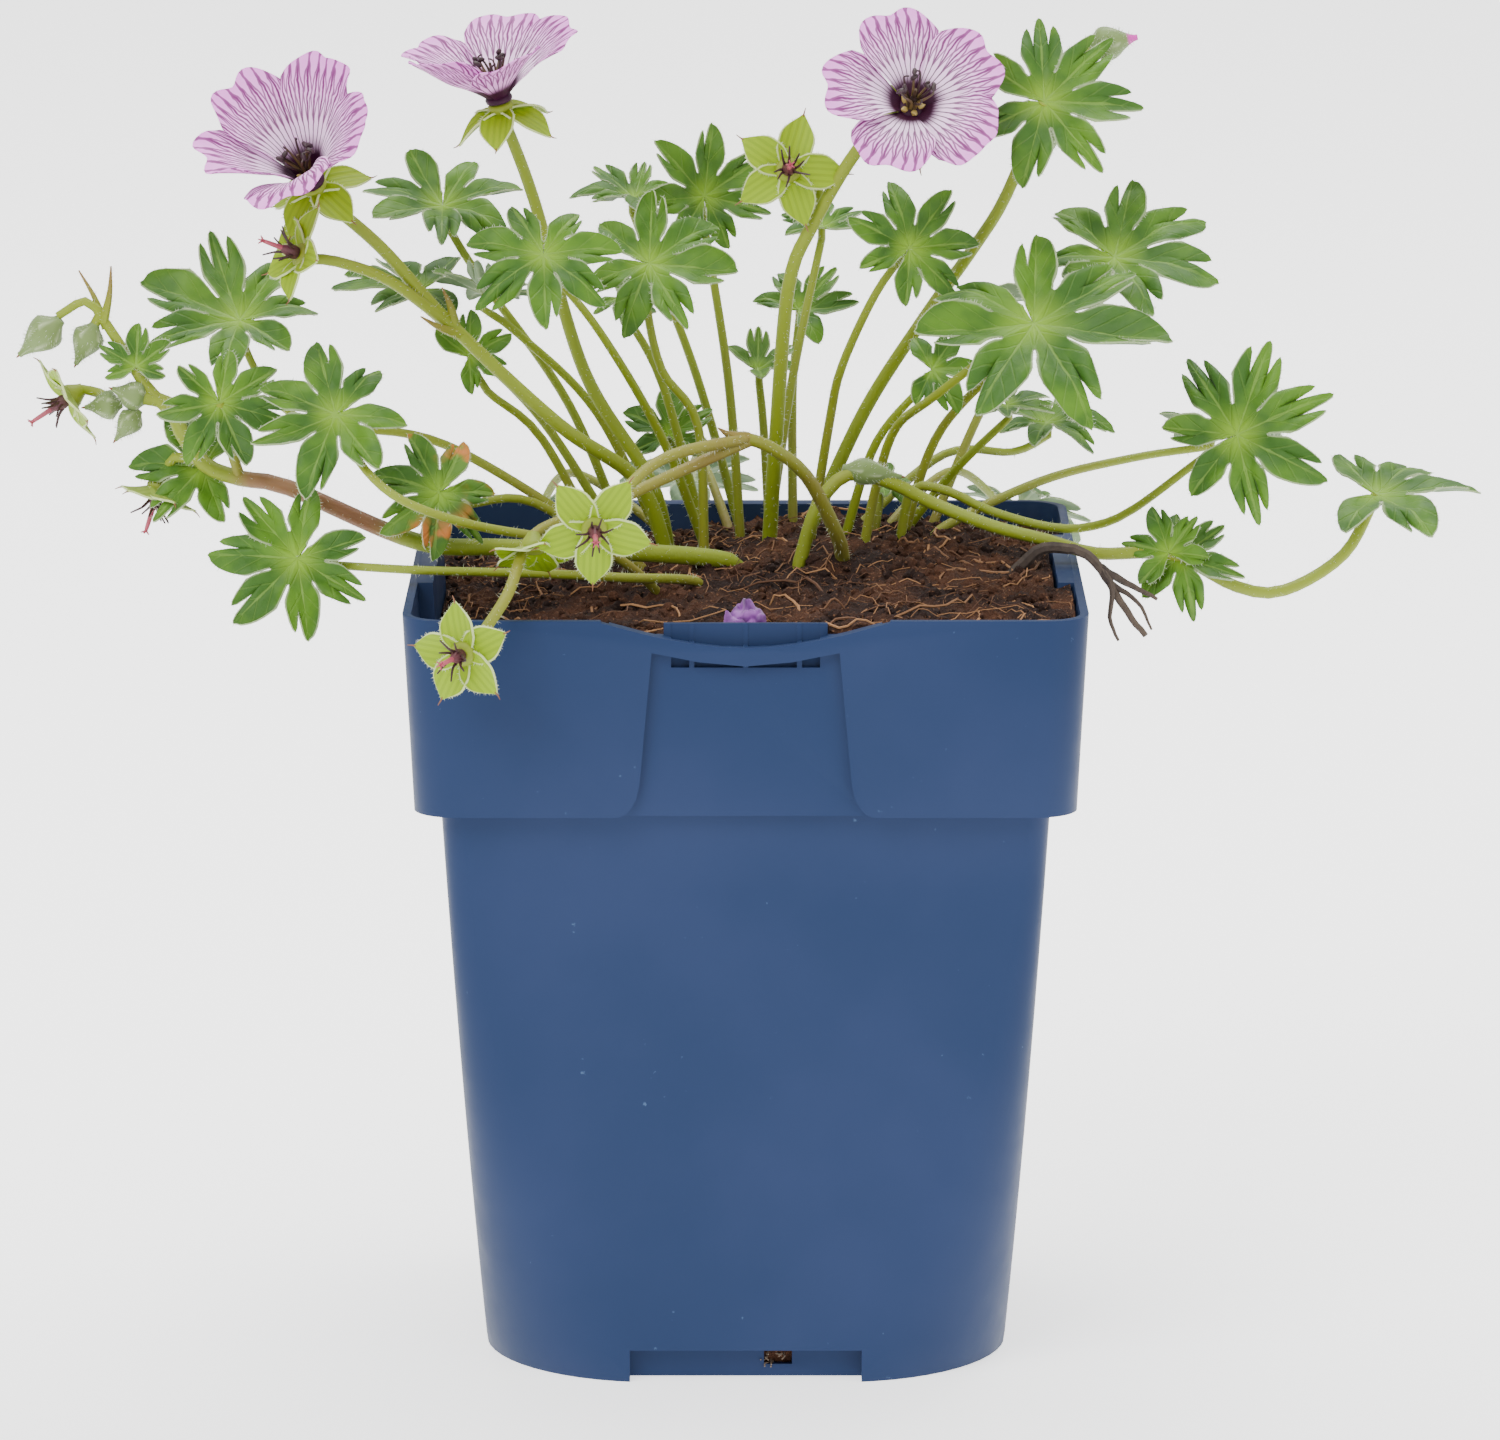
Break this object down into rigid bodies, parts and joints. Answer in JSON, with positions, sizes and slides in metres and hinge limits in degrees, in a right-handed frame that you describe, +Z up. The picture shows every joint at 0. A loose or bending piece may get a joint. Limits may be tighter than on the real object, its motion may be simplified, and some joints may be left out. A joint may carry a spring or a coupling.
{
  "type": "potted hardy geranium",
  "caption": "Hardy geranium with cut leaves, veined pale pink flowers and spent flowers, growing in a square blue nursery pot filled with peat.",
  "frame": {"origin": "centre of the pot's underside, where the pot stands", "axes": "+Z up, -Y towards the pot's front with its label tongue, +X to the right seen from the front"},
  "size_m": [0.2427, 0.1732, 0.2212],
  "materials": {
    "pot_plastic": "satin moulded plastic",
    "peat": "rough moist peat with coir fibres",
    "leaf": "finely hairy living leaf",
    "stem": "finely hairy living stem",
    "petal": "silky petal with darker veins",
    "stamen": "dark matt stamens",
    "fallen_petal": "withered petal"
  },
  "bodies": {
    "root": {"fallen_petal": "fallen_petal", "leaf_01": "leaf", "leaf_02": "leaf", "leaf_03": "leaf", "leaf_04": "leaf", "leaf_05": "leaf", "leaf_06": "leaf", "leaf_07": "leaf", "leaf_08": "leaf", "leaf_09": "leaf", "leaf_10": "leaf", "leaf_11": "leaf", "leaf_12": "leaf", "leaf_13": "leaf", "leaf_14": "leaf", "leaf_15": "leaf", "leaf_16": "leaf", "leaf_17": "leaf", "leaf_18": "leaf", "leaf_19": "leaf", "leaf_20": "leaf", "leaf_21": "leaf", "leaf_22": "leaf", "leaf_23": "leaf", "leaf_24": "leaf", "leaf_25": "leaf", "leaf_26": "leaf", "leaf_27": "leaf", "leaf_28": "leaf", "leaf_29": "leaf", "leaf_30": "leaf", "peat": "peat", "petals_left": "petal", "petals_middle": "petal", "petals_right": "petal", "pot": "pot_plastic", "runner": "stem", "stamens_left": "stamen", "stamens_middle": "stamen", "stamens_right": "stamen", "stamens_spent_centre": "stamen", "stamens_spent_far_left": "stamen", "stamens_spent_front": "stamen", "stamens_spent_hanging": "stamen", "stamens_spent_left": "stamen", "stamens_spent_low_left": "stamen", "stem_front": "stem", "stem_left": "stem", "stem_left_leafy": "stem", "stem_middle": "stem", "stem_right": "stem", "stem_right_leafy": "stem"}
  },
  "joints": []
}
